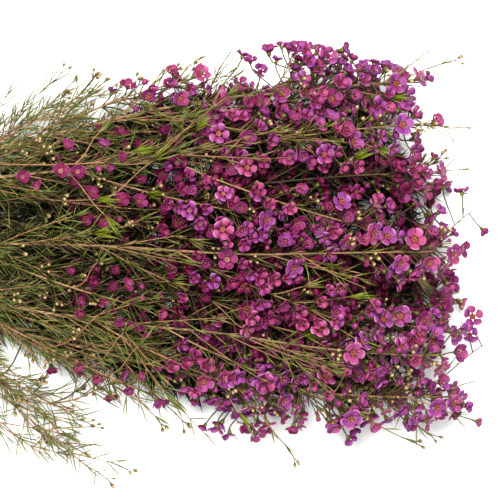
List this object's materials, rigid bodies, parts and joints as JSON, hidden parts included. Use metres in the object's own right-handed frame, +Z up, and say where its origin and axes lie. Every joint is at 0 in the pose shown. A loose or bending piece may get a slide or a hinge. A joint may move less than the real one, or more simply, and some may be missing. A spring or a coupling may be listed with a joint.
{
  "type": "waxflower bunch",
  "caption": "Cut bunch of purple waxflower lying on its side: woody stems with needle leaves, held by an elastic tie and fanned into a dense head of small open flowers and buds.",
  "frame": {"origin": "middle of the flat underside of the elastic tie, on the surface the bunch lies on", "axes": "+X along the stems from the cut ends to the flowers, +Y across the bunch, +Z up from the surface it lies on"},
  "size_m": [0.5643, 0.2648, 0.114],
  "materials": {
    "leafy_stem": "matt tan bark with satin olive-green needle leaves",
    "flowering_spray": "waxy satin magenta petals on red-brown twigs with cream and magenta buds",
    "elastic": "matt natural latex"
  },
  "bodies": {
    "root": {"stem_01": "leafy_stem", "stem_02": "leafy_stem", "stem_03": "leafy_stem", "stem_04": "leafy_stem", "stem_05": "leafy_stem", "stem_06": "leafy_stem", "stem_07": "leafy_stem", "stem_08": "leafy_stem", "stem_09": "leafy_stem", "stem_10": "leafy_stem", "stem_11": "leafy_stem", "stem_12": "leafy_stem", "spray_01": "flowering_spray", "spray_02": "flowering_spray", "spray_03": "flowering_spray", "spray_04": "flowering_spray", "spray_05": "flowering_spray", "spray_06": "flowering_spray", "spray_07": "flowering_spray", "spray_08": "flowering_spray", "spray_09": "flowering_spray", "spray_10": "flowering_spray", "spray_11": "flowering_spray", "spray_12": "flowering_spray", "spray_13": "flowering_spray", "spray_14": "flowering_spray", "spray_15": "flowering_spray", "spray_16": "flowering_spray", "spray_17": "flowering_spray", "spray_18": "flowering_spray", "spray_19": "flowering_spray", "spray_20": "flowering_spray", "spray_21": "flowering_spray", "spray_22": "flowering_spray", "spray_23": "flowering_spray", "spray_24": "flowering_spray", "spray_25": "flowering_spray", "spray_26": "flowering_spray", "spray_27": "flowering_spray", "spray_28": "flowering_spray", "spray_29": "flowering_spray", "spray_30": "flowering_spray", "spray_31": "flowering_spray", "spray_32": "flowering_spray", "spray_33": "flowering_spray", "spray_34": "flowering_spray", "spray_35": "flowering_spray", "spray_36": "flowering_spray", "spray_37": "flowering_spray", "spray_38": "flowering_spray", "spray_39": "flowering_spray", "spray_40": "flowering_spray", "spray_41": "flowering_spray", "spray_42": "flowering_spray", "spray_43": "flowering_spray", "spray_44": "flowering_spray", "spray_45": "flowering_spray", "spray_46": "flowering_spray", "spray_47": "flowering_spray", "elastic_tie": "elastic"}
  },
  "joints": []
}
